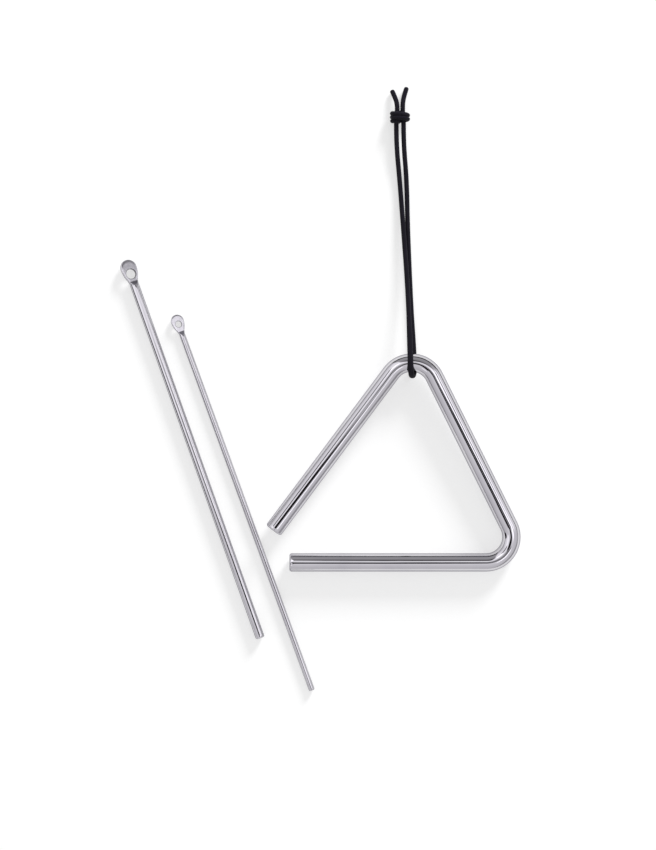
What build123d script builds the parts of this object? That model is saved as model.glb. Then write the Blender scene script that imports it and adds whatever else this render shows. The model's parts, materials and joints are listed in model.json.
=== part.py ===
from build123d import *
import os
from math import asin, atan, cos, degrees, hypot, pi, radians, sin, sqrt, tan

# A steel triangle with its hanging cord and two steel beaters, lying flat on a table.
# The table is the plane Z = 0, +Y points from the lower leg to the cord, +X to the right.
# Lengths are in millimetres and angles in degrees.

# Bent rod: two like legs, whose axes would meet at the open corner, and the side between the bends
ROD_DIAMETER = 10.0
SIDE_LENGTH = 91.5
BEND_RADIUS = 14.0
BEND_TURN = 116.6
OPEN_SETBACK = 22.1
END_CHAMFER = 0.9
OPEN_CORNER_X = -39.16
OPEN_CORNER_Y = -47.49

# Cord that passes under the rod at the upper bend, round it and back over it
CORD_DIAMETER = 2.7
CORD_ROOM = 0.25
FLOOR_ROOM = 0.05
ARC_RUN_SHARE = 0.45
CORD_ROUTE = [
    (41.7, 193.4, 4.1),
    (41.7, 182.4, 4.1),
    (43.6, 163.4, 1.6),
    (45.5, 137.4, 3.2),
    (47.8, 105.4, 5.0),
    (48.9, 74.7, 12.3),
    (49.2, 59.0, 15.4),
    (50.5, 54.0, 8.8),
    (51.8, 57.7, 1.4),
    (51.0, 73.4, 1.4),
    (49.4, 104.4, 1.4),
    (48.0, 137.4, 1.4),
    (47.5, 163.4, 1.4),
    (45.7, 182.4, 4.1),
    (45.7, 193.4, 4.1),
]

# Knot that joins the cord's two ends, and the short tails that stand out of it
KNOT_WIDTH = 11.0
KNOT_HEIGHT = 8.1
KNOT_LENGTH = 8.1
KNOT_EDGE = 1.1
TAIL_ROUTES = [
    [(42.2, 199.4, 4.1), (42.2, 204.6, 4.1), (41.0, 208.8, 2.7), (39.2, 212.8, 1.4)],
    [(45.2, 199.4, 4.1), (45.2, 205.0, 4.1), (46.0, 209.6, 2.7), (47.6, 214.4, 1.4)],
]

# Thick beater: round wire with one end pressed flat and pierced
THICK_DIAMETER = 5.0
THICK_LENGTH = 221.0
THICK_EYE_WIDTH = 9.1
THICK_EYE_THICKNESS = 2.2
THICK_FLAT_LENGTH = 12.4
THICK_NECK_LENGTH = 14.8
THICK_HOLE_DIAMETER = 5.5
THICK_HOLE_SETBACK = 8.1
THICK_TIP_ROUND = 1.0
THICK_EYE_SHIFT = 74.2
THICK_ROOM = 12.3
THICK_TIP_REACH = 53.6

# Thin beater, made the same way
THIN_DIAMETER = 3.2
THIN_LENGTH = 220.3
THIN_EYE_WIDTH = 7.2
THIN_EYE_THICKNESS = 1.3
THIN_FLAT_LENGTH = 9.7
THIN_NECK_LENGTH = 12.0
THIN_HOLE_DIAMETER = 3.5
THIN_HOLE_SETBACK = 5.4
THIN_TIP_ROUND = 0.7
THIN_EYE_SHIFT = 75.5
THIN_ROOM = 3.8
THIN_TIP_REACH = 90.35

# Form of a pressed eye, in shares of its wire and of its outline's length
EYE_EDGE_SHARE = 0.48
EYE_ROOT_SHARE = 0.96
EYE_FLANK_SHARE = 0.6
OVERRUN = 2.0

RIGHT_ANGLE = 90.0
HALF_TURN = 180.0


def triangle_leg_length():
    """Straight stretch of a leg, from its bend to the end that stops short of the open corner."""
    bend_tangent = BEND_RADIUS * tan(radians(BEND_TURN / 2))
    corner_span = SIDE_LENGTH + 2 * bend_tangent
    leg_span = corner_span / 2 / cos(radians(HALF_TURN - BEND_TURN))
    return leg_span - bend_tangent - OPEN_SETBACK


def triangle_height():
    """Distance from the lower leg's axis to the rod's axis at the top of the upper bend."""
    return SIDE_LENGTH * sin(radians(BEND_TURN)) + 2 * BEND_RADIUS


def arc_radii(route):
    """Radius of each corner of a cord's route: as large as the two runs beside it allow."""
    radii = []
    for before, corner, after in zip(route, route[1:], route[2:]):
        run_in = Vector(*corner) - Vector(*before)
        run_out = Vector(*after) - Vector(*corner)
        half_turn = radians(run_in.get_angle(run_out)) / 2
        radii.append(ARC_RUN_SHARE * min(run_in.length, run_out.length) / tan(half_turn))
    return radii


def eye_edge_radius(diameter):
    """Radius of the rounded edge that the spread end of a wire has before it is pressed."""
    return EYE_EDGE_SHARE * EYE_ROOT_SHARE * diameter


def eye_roll(diameter, eye_width, eye_thickness):
    """Angle to which a beater rolls on the table, until one edge of its eye rests there too."""
    edge_radius = eye_edge_radius(diameter)
    edge_height = eye_thickness / 2 - (EYE_ROOT_SHARE * diameter / 2 - edge_radius)
    edge_bulge = edge_radius - sqrt(edge_radius**2 - edge_height**2)
    face_half_width = eye_width / 2 - edge_bulge
    corner_reach = hypot(face_half_width, eye_thickness / 2)
    return asin(diameter / 2 / corner_reach) - atan(eye_thickness / 2 / face_half_width)


def beater_plane(leg_end, length, eye_shift, offset, tip_reach, diameter, roll):
    """Plane of a beater's eye: origin at the tip, X along the wire, Z square to the pressed face."""
    lean = asin(eye_shift / length)
    axis = Vector(-sin(lean), cos(lean), 0)
    right = Vector(cos(lean), sin(lean), 0)
    up = Vector(0, 0, 1)
    foot = Vector(leg_end.X, leg_end.Y, diameter / 2)
    tip = foot - right * offset - axis * tip_reach
    return Plane(origin=tip, x_dir=axis, z_dir=up * cos(roll) + right * sin(roll))


def build_beater(
    plane,
    diameter,
    length,
    eye_width,
    eye_thickness,
    flat_length,
    neck_length,
    hole_diameter,
    hole_setback,
    tip_round,
):
    """A straight wire whose far end is spread to a pear shape, pressed flat on both faces and pierced."""
    axis = plane.x_dir
    across = axis.cross(plane.z_dir)
    flat_start = length - flat_length
    neck_start = length - neck_length
    root_half_width = EYE_ROOT_SHARE * diameter / 2
    flank_drop = eye_width / 2 - root_half_width
    flank_reach = neck_length - eye_width / 2
    flank_turn = 2 * atan(flank_drop / flank_reach)
    flank_radius = EYE_FLANK_SHARE * flank_reach / sin(flank_turn)
    neck_radius = (1 - EYE_FLANK_SHARE) * flank_reach / sin(flank_turn)
    die_slope = (diameter - eye_thickness) / 2 / (flat_start - neck_start)

    with BuildPart() as beater:
        # The end of the wire, spread to a pear outline, before it is pressed
        with BuildSketch(plane):
            with BuildLine():
                crown = JernArc((length, 0), (0, 1), eye_width / 2, RIGHT_ANGLE)
                flank = JernArc(crown @ 1, crown % 1, flank_radius, degrees(flank_turn))
                neck = JernArc(flank @ 1, flank % 1, neck_radius, -degrees(flank_turn))
                root = Line(neck @ 1, (neck_start - diameter, root_half_width))
                Line(root @ 1, (neck_start - diameter, 0))
                mirror(about=Plane.XZ)
            make_face()
        extrude(amount=root_half_width, both=True)
        fillet(beater.edges().filter_by(GeomType.CIRCLE), eye_edge_radius(diameter))

        # The round wire, with its rounded tip
        with BuildSketch(Plane(origin=plane.origin, z_dir=axis)):
            Circle(diameter / 2)
        extrude(amount=flat_start)
        fillet(beater.edges().sort_by(Axis(plane.origin, axis))[0], tip_round)

        # Both pressed faces, each with the sloping shoulder that the die leaves
        with BuildSketch(Plane(origin=plane.origin, x_dir=axis, z_dir=across)):
            with BuildLine():
                Polyline(
                    (neck_start - OVERRUN, diameter / 2 + OVERRUN * die_slope),
                    (flat_start, eye_thickness / 2),
                    (length + OVERRUN, eye_thickness / 2),
                    (length + OVERRUN, diameter / 2 + OVERRUN * die_slope),
                    close=True,
                )
            make_face()
            mirror(about=Plane.XZ)
        extrude(amount=eye_width, both=True, mode=Mode.SUBTRACT)

        with BuildSketch(plane):
            with Locations((length - hole_setback, 0)):
                Circle(hole_diameter / 2)
        extrude(amount=diameter, both=True, mode=Mode.SUBTRACT)
    return beater.part


os.makedirs("parts", exist_ok=True)

# Triangle: it lies on its lower leg and, at the upper bend, on the cord, so it is tipped a little
leg_length = triangle_leg_length()
apex_lift = FLOOR_ROOM + CORD_DIAMETER + CORD_ROOM
tip_angle = asin(apex_lift / triangle_height())
rod_plane = Plane(
    origin=(OPEN_CORNER_X, OPEN_CORNER_Y, ROD_DIAMETER / 2),
    x_dir=(1, 0, 0),
    z_dir=(0, -sin(tip_angle), cos(tip_angle)),
)

with BuildPart() as triangle_rod:
    with BuildLine(rod_plane) as rod_axis:
        lower_leg = Line((OPEN_SETBACK, 0), (OPEN_SETBACK + leg_length, 0))
        lower_bend = JernArc(lower_leg @ 1, lower_leg % 1, BEND_RADIUS, BEND_TURN)
        side = Line(lower_bend @ 1, lower_bend @ 1 + (lower_bend % 1) * SIDE_LENGTH)
        upper_bend = JernArc(side @ 1, side % 1, BEND_RADIUS, BEND_TURN)
        upper_leg = Line(upper_bend @ 1, upper_bend @ 1 + (upper_bend % 1) * leg_length)
    with BuildSketch(Plane(origin=lower_leg @ 0, z_dir=lower_leg % 0)):
        Circle(ROD_DIAMETER / 2)
    sweep()
    chamfer(triangle_rod.faces().filter_by(GeomType.PLANE).edges(), END_CHAMFER)
triangle_rod.part.label = "triangle_rod"
export_step(triangle_rod.part, "parts/triangle_rod.step")

# Cord: one tube of straight runs and tangent arcs, from the knot round the rod and back
cord_radii = arc_radii(CORD_ROUTE)
with BuildPart() as hanging_cord:
    with BuildLine():
        cord_path = FilletPolyline(CORD_ROUTE, radius=cord_radii)
    with BuildSketch(Plane(origin=cord_path @ 0, z_dir=cord_path % 0)):
        Circle(CORD_DIAMETER / 2)
    sweep()
hanging_cord.part.label = "hanging_cord"
export_step(hanging_cord.part, "parts/hanging_cord.step")
cord_section = pi * (CORD_DIAMETER / 2) ** 2
print("cord radii", [round(radius, 1) for radius in cord_radii])
print("cord length", round(cord_path.length, 2))
print("cord volume over section times length", hanging_cord.part.volume / (cord_section * cord_path.length))

# Knot: the outer form of the tight knot, and the two tails
knot_start = (Vector(*CORD_ROUTE[0]) + Vector(*CORD_ROUTE[-1])) / 2
with BuildPart() as cord_knot:
    with BuildSketch(Plane(origin=knot_start, x_dir=(1, 0, 0), z_dir=(0, 1, 0))):
        SlotOverall(KNOT_WIDTH, KNOT_HEIGHT)
    extrude(amount=KNOT_LENGTH)
    chamfer(cord_knot.faces().filter_by(Axis.Y).edges(), KNOT_EDGE)
    for tail_route in TAIL_ROUTES:
        with BuildLine():
            tail_path = FilletPolyline(tail_route, radius=arc_radii(tail_route))
        with BuildSketch(Plane(origin=tail_path @ 0, z_dir=tail_path % 0)):
            Circle(CORD_DIAMETER / 2)
        sweep()
cord_knot.part.label = "cord_knot"
export_step(cord_knot.part, "parts/cord_knot.step")

# Beaters: they lie to the left of the upper leg's free end, each rolled onto one edge of its eye
leg_end = upper_leg @ 1
thin_offset = ROD_DIAMETER / 2 + THIN_ROOM + THIN_DIAMETER / 2
thin_roll = eye_roll(THIN_DIAMETER, THIN_EYE_WIDTH, THIN_EYE_THICKNESS)
thin_plane = beater_plane(
    leg_end, THIN_LENGTH, THIN_EYE_SHIFT, thin_offset, THIN_TIP_REACH, THIN_DIAMETER, thin_roll
)
thin_beater = build_beater(
    thin_plane,
    THIN_DIAMETER,
    THIN_LENGTH,
    THIN_EYE_WIDTH,
    THIN_EYE_THICKNESS,
    THIN_FLAT_LENGTH,
    THIN_NECK_LENGTH,
    THIN_HOLE_DIAMETER,
    THIN_HOLE_SETBACK,
    THIN_TIP_ROUND,
)
thin_beater.label = "thin_beater"
export_step(thin_beater, "parts/thin_beater.step")

thick_offset = thin_offset + THIN_DIAMETER / 2 + THICK_ROOM + THICK_DIAMETER / 2
thick_roll = eye_roll(THICK_DIAMETER, THICK_EYE_WIDTH, THICK_EYE_THICKNESS)
thick_plane = beater_plane(
    leg_end, THICK_LENGTH, THICK_EYE_SHIFT, thick_offset, THICK_TIP_REACH, THICK_DIAMETER, thick_roll
)
thick_beater = build_beater(
    thick_plane,
    THICK_DIAMETER,
    THICK_LENGTH,
    THICK_EYE_WIDTH,
    THICK_EYE_THICKNESS,
    THICK_FLAT_LENGTH,
    THICK_NECK_LENGTH,
    THICK_HOLE_DIAMETER,
    THICK_HOLE_SETBACK,
    THICK_TIP_ROUND,
)
thick_beater.label = "thick_beater"
export_step(thick_beater, "parts/thick_beater.step")
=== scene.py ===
import json
import logging
from collections.abc import Sequence
from dataclasses import dataclass, replace
from enum import Enum, IntEnum
from math import asin, atan, cos, pi, radians, sin, tan

import bmesh
import bpy
import numpy as np
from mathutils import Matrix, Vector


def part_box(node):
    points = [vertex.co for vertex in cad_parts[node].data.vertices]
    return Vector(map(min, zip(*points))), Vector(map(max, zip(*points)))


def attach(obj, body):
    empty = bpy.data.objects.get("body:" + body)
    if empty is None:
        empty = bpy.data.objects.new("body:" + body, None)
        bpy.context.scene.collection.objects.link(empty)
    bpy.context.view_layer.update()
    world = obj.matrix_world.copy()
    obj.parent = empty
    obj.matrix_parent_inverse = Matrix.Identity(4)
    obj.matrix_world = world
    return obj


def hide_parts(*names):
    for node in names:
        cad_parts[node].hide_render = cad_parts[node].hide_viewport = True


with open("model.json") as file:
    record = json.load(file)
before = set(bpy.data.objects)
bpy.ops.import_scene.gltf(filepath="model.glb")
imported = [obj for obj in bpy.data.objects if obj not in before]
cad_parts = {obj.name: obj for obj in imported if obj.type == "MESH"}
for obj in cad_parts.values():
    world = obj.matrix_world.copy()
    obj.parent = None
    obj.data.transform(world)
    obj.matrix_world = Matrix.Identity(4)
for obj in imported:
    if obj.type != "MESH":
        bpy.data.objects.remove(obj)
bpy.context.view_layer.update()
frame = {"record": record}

# A steel triangle on its braided cord, with a thick and a thin beater, seen from straight above.
# Lengths are in metres and angles in degrees. The table is the plane Z = 0.

log = logging.getLogger("triangle_set")

Colour = tuple[float, float, float]
Point = tuple[float, float, float]
Span = tuple[float, float]
Cloth = tuple[Span, ...]
Socket = bpy.types.NodeSocket

STRAIGHTENED = "straightened"
RELIEF = "relief"
WHITE: Colour = (1.0, 1.0, 1.0)
WHOLE: Span = (0.0, 1.0)
MERGE_DISTANCE = 1e-6
SHARP_ANGLE = 38.0
ROUTE_RESOLUTION = 96
LEAST_SINE = 1e-6
COSINE_DIGITS = 9


class Body(Enum):
    """The bodies that pieces ride on."""

    TRIANGLE = "triangle"
    CORD = "cord"
    THICK_BEATER = "thick_beater"
    THIN_BEATER = "thin_beater"


class Slot(Enum):
    """The record's material slots."""

    ROD = "rod_chrome"
    BEATER = "beater_steel"
    CORD = "black_cord"


class BeaterSurface(IntEnum):
    """Material numbers on a beater's mesh."""

    WIRE = 0
    FACE = 1
    SHOULDER = 2
    HOLE = 3


class NodeSheet:
    """A node tree that is filled by one call for each node."""

    def __init__(self, tree: bpy.types.NodeTree) -> None:
        """Empties the tree."""
        self.tree = tree
        self.tree.nodes.clear()

    def add(self, kind: str, inputs: dict | None = None, **settings: object) -> bpy.types.Node:
        """Adds a node, sets its properties and fills or links its sockets.

        Args:
            kind: The node's type name.
            inputs: Socket name or number, with the value or the output socket that it takes.
            settings: Properties of the node.

        Returns:
            The new node.
        """
        node = self.tree.nodes.new(kind)
        for name, value in settings.items():
            setattr(node, name, value)
        for name, value in (inputs or {}).items():
            if isinstance(value, Socket):
                self.tree.links.new(value, node.inputs[name])
            else:
                node.inputs[name].default_value = value
        return node

    def end(self, kind: str, inputs: dict, output: str = "ShaderNodeOutputMaterial") -> None:
        """Adds the last shader and links it to the output."""
        shader = self.add(kind, inputs)
        self.add(output, {"Surface": shader.outputs[0]})

    def metal(self, colour: Socket, roughness: Socket, normal: Socket, edge_tint: Colour = WHITE) -> None:
        """Ends the sheet in a metal.

        Args:
            colour: Its colour where it is seen square on.
            roughness: Its roughness.
            normal: Its normal.
            edge_tint: Factor of the colour near the outline.
        """
        sockets = {
            "Base Color": colour,
            "Metallic": 1.0,
            "Specular Tint": self.full(edge_tint),
            "Roughness": roughness,
            "Normal": normal,
        }
        self.end("ShaderNodeBsdfPrincipled", sockets)

    def here(self) -> Socket:
        """Object coordinates."""
        return self.add("ShaderNodeTexCoord").outputs["Object"]

    def carried(self, name: str, output: str = "Vector") -> Socket:
        """A value that the mesh carries at each point."""
        return self.add("ShaderNodeAttribute", attribute_name=name).outputs[output]

    def math(self, operation: str, *values: object) -> Socket:
        """Result of a Math node on numbers or sockets."""
        return self.add("ShaderNodeMath", dict(enumerate(values)), operation=operation).outputs[0]

    def vector(self, operation: str, *values: object) -> Socket:
        """Result of a Vector Math node, which is a number for a length or a dot product."""
        node = self.add("ShaderNodeVectorMath", dict(enumerate(values)), operation=operation)
        return node.outputs["Value" if operation in ("LENGTH", "DOT_PRODUCT") else "Vector"]

    def axis(self, vector: Socket, name: str) -> Socket:
        """One coordinate of a vector."""
        return self.add("ShaderNodeSeparateXYZ", {0: vector}).outputs[name]

    def span(self, value: Socket, source: Span, target: Span = WHOLE, smooth: bool = False) -> Socket:
        """A value carried from one range to another and held at its ends.

        Args:
            value: Socket to carry over.
            source: Range that is read.
            target: Range that is given.
            smooth: Whether the step is eased at both ends.

        Returns:
            The result's socket.
        """
        sockets = {"Value": value, 1: source[0], 2: source[1], 3: target[0], 4: target[1]}
        kind = "SMOOTHSTEP" if smooth else "LINEAR"
        return self.add("ShaderNodeMapRange", sockets, interpolation_type=kind).outputs[0]

    def mixed(self, factor: Socket, first: object, second: object) -> Socket:
        """Colour between two colours or colour sockets."""
        sides = {0: factor, 6: self.full(first), 7: self.full(second)}
        return self.add("ShaderNodeMix", sides, data_type="RGBA").outputs[2]

    def ramp(self, factor: Socket, stops: Sequence[tuple[float, Colour]]) -> Socket:
        """Colour read from a row of stops.

        Args:
            factor: Place in the row, from 0 to 1.
            stops: Places with their colours, in order.

        Returns:
            The colour's socket.
        """
        node = self.add("ShaderNodeValToRGB", {0: factor})
        elements = node.color_ramp.elements
        for place, _ in stops[2:]:
            elements.new(place)
        for element, (place, colour) in zip(elements, stops):
            element.position = place
            element.color = self.full(colour)
        return node.outputs[0]

    def bump(self, height: Socket, strength: float, distance: float) -> Socket:
        """Normal of a surface with fine heights."""
        sockets = {"Height": height, "Strength": strength, "Distance": distance}
        return self.add("ShaderNodeBump", sockets).outputs[0]

    @staticmethod
    def full(colour: object) -> object:
        """A colour with its alpha, or a socket as it is."""
        return (*colour, 1.0) if isinstance(colour, tuple) else colour


def new_material(name: str) -> tuple[bpy.types.Material, NodeSheet]:
    """A node material and its empty sheet.

    Args:
        name: The material's name.

    Returns:
        The material and the sheet.
    """
    material = bpy.data.materials.new(name)
    material.use_nodes = True
    return material, NodeSheet(material.node_tree)


@dataclass(frozen=True)
class Cloud:
    """A cloud noise: its scale along each axis, its detail, and the band of its greys that counts."""

    scale: Point
    detail: float
    band: Span
    roughness: float = 0.55

    def grey(self, sheet: NodeSheet, place: Socket) -> Socket:
        """Grey level of the noise, about 0.5.

        Args:
            sheet: The finish's node sheet.
            place: Coordinates that the noise is laid out on.

        Returns:
            The grey level's socket.
        """
        sockets = {
            "Vector": sheet.vector("MULTIPLY", place, self.scale),
            "Scale": 1.0,
            "Detail": self.detail,
            "Roughness": self.roughness,
        }
        return sheet.add("ShaderNodeTexNoise", sockets).outputs[0]

    def level(self, sheet: NodeSheet, place: Socket, target: Span = WHOLE) -> Socket:
        """The noise's band carried to a range."""
        return sheet.span(self.grey(sheet, place), self.band, target)


@dataclass(frozen=True)
class ChromePlate:
    """Bright plate on the bent rod, with polishing lines, handling haze and hairline scratches."""

    colour: Colour = (0.665, 0.655, 0.68)
    worn_colour: Colour = (0.61, 0.60, 0.63)
    edge_tint: Colour = (0.30, 0.29, 0.33)
    roughness: Span = (0.012, 0.035)
    polish: Cloud = Cloud((30.0, 700.0, 700.0), 3.0, (0.36, 0.66))
    haze: Cloud = Cloud((55.0, 55.0, 55.0), 4.0, (0.52, 0.76))
    haze_roughness: float = 0.02
    wear_band: Span = (0.45, 0.75)
    scratches: Cloud = Cloud((90.0, 5200.0, 5200.0), 2.0, (0.60, 0.74))
    scratch_roughness: float = 0.02
    scratch_strength: float = 0.5
    scratch_depth: float = 2e-6

    def material(self) -> bpy.types.Material:
        """Node material that reads the rod's straightened coordinates.

        Returns:
            The material.
        """
        material, sheet = new_material("rod_chrome_plate")
        place = sheet.carried(STRAIGHTENED)
        haze = self.haze.grey(sheet, place)
        lines = self.scratches.level(sheet, place)
        clean = self.polish.level(sheet, place, self.roughness)
        dull = sheet.span(haze, self.haze.band, (0.0, self.haze_roughness), smooth=True)
        hazy = sheet.math("ADD", clean, dull)
        sheet.metal(
            sheet.mixed(sheet.span(haze, self.wear_band), self.colour, self.worn_colour),
            sheet.math("MULTIPLY_ADD", lines, self.scratch_roughness, hazy),
            sheet.bump(lines, self.scratch_strength, self.scratch_depth),
            self.edge_tint,
        )
        return material


@dataclass(frozen=True)
class DrawnWire:
    """Plated drawn wire with die lines along it and small dull spots, with a painted dark reflection over all
    but its top.
    """

    turn: float
    # Painted dark reflection: below the first of these heights the wire takes the darker colour, above the
    # second its bright colour.
    dark_reflection_span: Span
    dark_reflection_colour: Colour = (0.50, 0.49, 0.52)
    colour: Colour = (0.665, 0.655, 0.68)
    worn_colour: Colour = (0.58, 0.57, 0.60)
    edge_tint: Colour = (0.20, 0.19, 0.23)
    roughness: Span = (0.012, 0.045)
    lines: Cloud = Cloud((22.0, 2600.0, 2600.0), 3.0, (0.35, 0.68))
    line_strength: float = 0.35
    line_depth: float = 4e-6
    spots: Cloud = Cloud((160.0, 420.0, 420.0), 4.0, (0.55, 0.75))
    spot_roughness: float = 0.025
    wear_band: Span = (0.5, 0.78)

    def material(self, beater: str) -> bpy.types.Material:
        """Node material on Object coordinates that are turned until X runs along the wire.

        Args:
            beater: The beater's name.

        Returns:
            The material.
        """
        material, sheet = new_material(f"{beater}_drawn_wire")
        where = sheet.here()
        turned = {"Vector": where, "Rotation": (0.0, 0.0, -radians(self.turn))}
        place = sheet.add("ShaderNodeMapping", turned).outputs[0]
        lines = self.lines.grey(sheet, place)
        spots = self.spots.grey(sheet, place)
        dull = sheet.span(spots, self.spots.band, (0.0, self.spot_roughness), smooth=True)
        bright = sheet.mixed(sheet.span(spots, self.wear_band), self.colour, self.worn_colour)
        # Painted dark reflection over the wire's lower sides, which fades out between the two heights.
        side = sheet.span(sheet.axis(where, "Z"), self.dark_reflection_span, (1.0, 0.0))
        sheet.metal(
            sheet.mixed(side, bright, self.dark_reflection_colour),
            sheet.math("ADD", sheet.span(lines, self.lines.band, self.roughness), dull),
            sheet.bump(lines, self.line_strength, self.line_depth),
            self.edge_tint,
        )
        return material


@dataclass(frozen=True)
class PressedSteel:
    """Grainy, patchy steel of a beater's eye, as the die or the punch leaves it, in a colour given for each
    surface.
    """

    part: str
    colour: Colour
    worn_colour: Colour
    roughness: Span
    grain: Cloud
    patches: Cloud
    grain_depth: float
    grain_strength: float = 0.5

    def material(self, beater: str) -> bpy.types.Material:
        """Node material on Object coordinates.

        Args:
            beater: The beater's name.

        Returns:
            The material.
        """
        material, sheet = new_material(f"{beater}_{self.part}")
        where = sheet.here()
        grain = self.grain.grey(sheet, where)
        sheet.metal(
            sheet.mixed(self.patches.level(sheet, where), self.colour, self.worn_colour),
            sheet.span(grain, self.grain.band, self.roughness),
            sheet.bump(grain, self.grain_strength, self.grain_depth),
        )
        return material


EYE_FACE = PressedSteel(
    part="pressed_face",
    colour=(0.69, 0.68, 0.71),
    worn_colour=(0.60, 0.59, 0.625),
    roughness=(0.08, 0.16),
    grain=Cloud((2600.0, 2600.0, 2600.0), 4.0, (0.35, 0.68)),
    patches=Cloud((480.0, 480.0, 480.0), 3.0, (0.38, 0.66)),
    grain_depth=1.6e-5,
)
# The sloping shoulder is darker and rougher than the flat face.
EYE_SHOULDER = PressedSteel(
    part="shoulder_steel",
    colour=(0.42, 0.41, 0.45),
    worn_colour=(0.30, 0.29, 0.33),
    roughness=(0.18, 0.34),
    grain=Cloud((3400.0, 3400.0, 3400.0), 3.0, (0.35, 0.68)),
    patches=Cloud((3400.0, 3400.0, 3400.0), 3.0, (0.36, 0.66)),
    grain_depth=1.2e-5,
)
# The hole wall's much darker colour is painted shade inside the hole.
EYE_HOLE_SHADE = replace(
    EYE_SHOULDER, part="shaded_hole_wall", colour=(0.17, 0.165, 0.185), worn_colour=(0.10, 0.095, 0.11)
)


@dataclass(frozen=True)
class BlackBraid:
    """Black braided yarn: painted shade between the strands, with fine fibres and a low sheen."""

    # Colour of the painted shade in the grooves between the strands.
    groove_shade: Colour = (0.0016, 0.0014, 0.0026)
    crown: Colour = (0.0085, 0.0074, 0.0128)
    relief_band: Span = (0.15, 0.85)
    faded: Point = (1.35, 1.35, 1.3)
    fading: Cloud = Cloud((120.0, 120.0, 120.0), 3.0, (0.4, 0.7))
    fibres: Cloud = Cloud((3000.0, 9000.0, 9000.0), 3.0, (0.3, 0.7))
    fibre_strength: float = 0.6
    fibre_depth: float = 2.5e-5
    roughness: Span = (0.62, 0.86)
    gloss: float = 0.12
    sheen: float = 0.06
    sheen_roughness: float = 0.45

    def material(self) -> bpy.types.Material:
        """Node material that reads the cord's relief and its straightened coordinates.

        Returns:
            The material.
        """
        material, sheet = new_material("black_braided_yarn")
        place = sheet.carried(STRAIGHTENED)
        fibres = self.fibres.grey(sheet, place)
        # Painted shade: the lower the braid's relief, the darker the yarn, down to the grooves' colour.
        stops = list(zip(self.relief_band, (self.groove_shade, self.crown)))
        strands = sheet.ramp(sheet.carried(RELIEF, "Fac"), stops)
        greyed = sheet.vector("MULTIPLY", strands, self.faded)
        sockets = {
            "Base Color": sheet.mixed(self.fading.level(sheet, place), strands, greyed),
            "Roughness": sheet.span(fibres, self.fibres.band, self.roughness),
            "Specular IOR Level": self.gloss,
            "Sheen Weight": self.sheen,
            "Sheen Roughness": self.sheen_roughness,
            "Normal": sheet.bump(fibres, self.fibre_strength, self.fibre_depth),
        }
        sheet.end("ShaderNodeBsdfPrincipled", sockets)
        return material


def unit(vectors: np.ndarray) -> np.ndarray:
    """Vectors divided by their own lengths."""
    return vectors / np.linalg.norm(vectors, axis=-1, keepdims=True)


def eased(share: np.ndarray) -> np.ndarray:
    """A share held between 0 and 1, with a smooth start and end: three squares less two cubes."""
    held = np.clip(share, 0.0, 1.0)
    return held * held * (3 - 2 * held)


def round_angles(count: int) -> np.ndarray:
    """Equal angles once round."""
    return np.linspace(0.0, 2 * pi, count, endpoint=False)


def running_length(line: np.ndarray) -> np.ndarray:
    """Distance along a line from its first point to each of its points."""
    steps = np.linalg.norm(np.diff(line, axis=0), axis=1)
    return np.concatenate([[0.0], np.cumsum(steps)])


def evenly_spaced(line: np.ndarray, step: float) -> np.ndarray:
    """A line's points again, at equal steps along its length.

    Args:
        line: Points in order, one in each row.
        step: Distance between the new points, which is trimmed to fit.

    Returns:
        The new points.
    """
    along = running_length(line)
    stations = np.linspace(0.0, along[-1], int(np.ceil(along[-1] / step)) + 1)
    return np.stack([np.interp(stations, along, line[:, axis]) for axis in range(3)], axis=1)


def nurbs_line(points: Sequence[Point], step: float) -> np.ndarray:
    """Points along the quadratic spline that has a route's points as its control points.

    Args:
        points: The route, in metres.
        step: Distance between the points that are given back.

    Returns:
        Points at equal steps, read from the spline as a curve with no bevel.
    """
    curve = bpy.data.curves.new("route", "CURVE")
    curve.dimensions = "3D"
    spline = curve.splines.new("NURBS")
    spline.points.add(len(points) - 1)
    weighted = np.column_stack([np.array(points), np.ones(len(points))])
    spline.points.foreach_set("co", weighted.ravel())
    spline.order_u = 3
    spline.use_endpoint_u = True
    spline.resolution_u = ROUTE_RESOLUTION
    holder = bpy.data.objects.new("route", curve)
    mesh = bpy.data.meshes.new_from_object(holder)
    line = np.zeros(len(mesh.vertices) * 3)
    mesh.vertices.foreach_get("co", line)
    bpy.data.objects.remove(holder)
    bpy.data.meshes.remove(mesh)
    bpy.data.curves.remove(curve)
    return evenly_spaced(line.reshape(-1, 3), step)


def tube_frames(line: np.ndarray, reference: Point) -> tuple[np.ndarray, np.ndarray]:
    """Two directions square to a line at each of its points.

    The side is the reference direction less its share along the line. The other is square to line and side.

    Args:
        line: Points in order.
        reference: A direction that the line never takes.

    Returns:
        The side directions and the other directions.
    """
    tangent = unit(np.gradient(line, axis=0))
    side = unit(np.array(reference) - (tangent @ np.array(reference))[:, None] * tangent)
    return side, np.cross(tangent, side)


def carried_rings(
    line: np.ndarray, radius: np.ndarray, angle: np.ndarray, first: np.ndarray, second: np.ndarray
) -> np.ndarray:
    """Rings of points carried along a line.

    A point lies off its ring's centre by the radius times the cosine of its angle along the first
    direction, and by the radius times the sine along the second.

    Args:
        line: Ring centres.
        radius: Radii, with a row for each ring and a column for each angle, or one for all.
        angle: Angles round a ring.
        first: Direction at angle zero, for each ring or for all.
        second: Direction a quarter turn on, for each ring or for all.

    Returns:
        Points as rings, columns and three coordinates.
    """
    ways = [np.atleast_2d(way)[:, None, :] for way in (first, second)]
    ring = np.cos(angle)[None, :, None] * ways[0] + np.sin(angle)[None, :, None] * ways[1]
    return line[:, None, :] + radius[..., None] * ring


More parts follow.
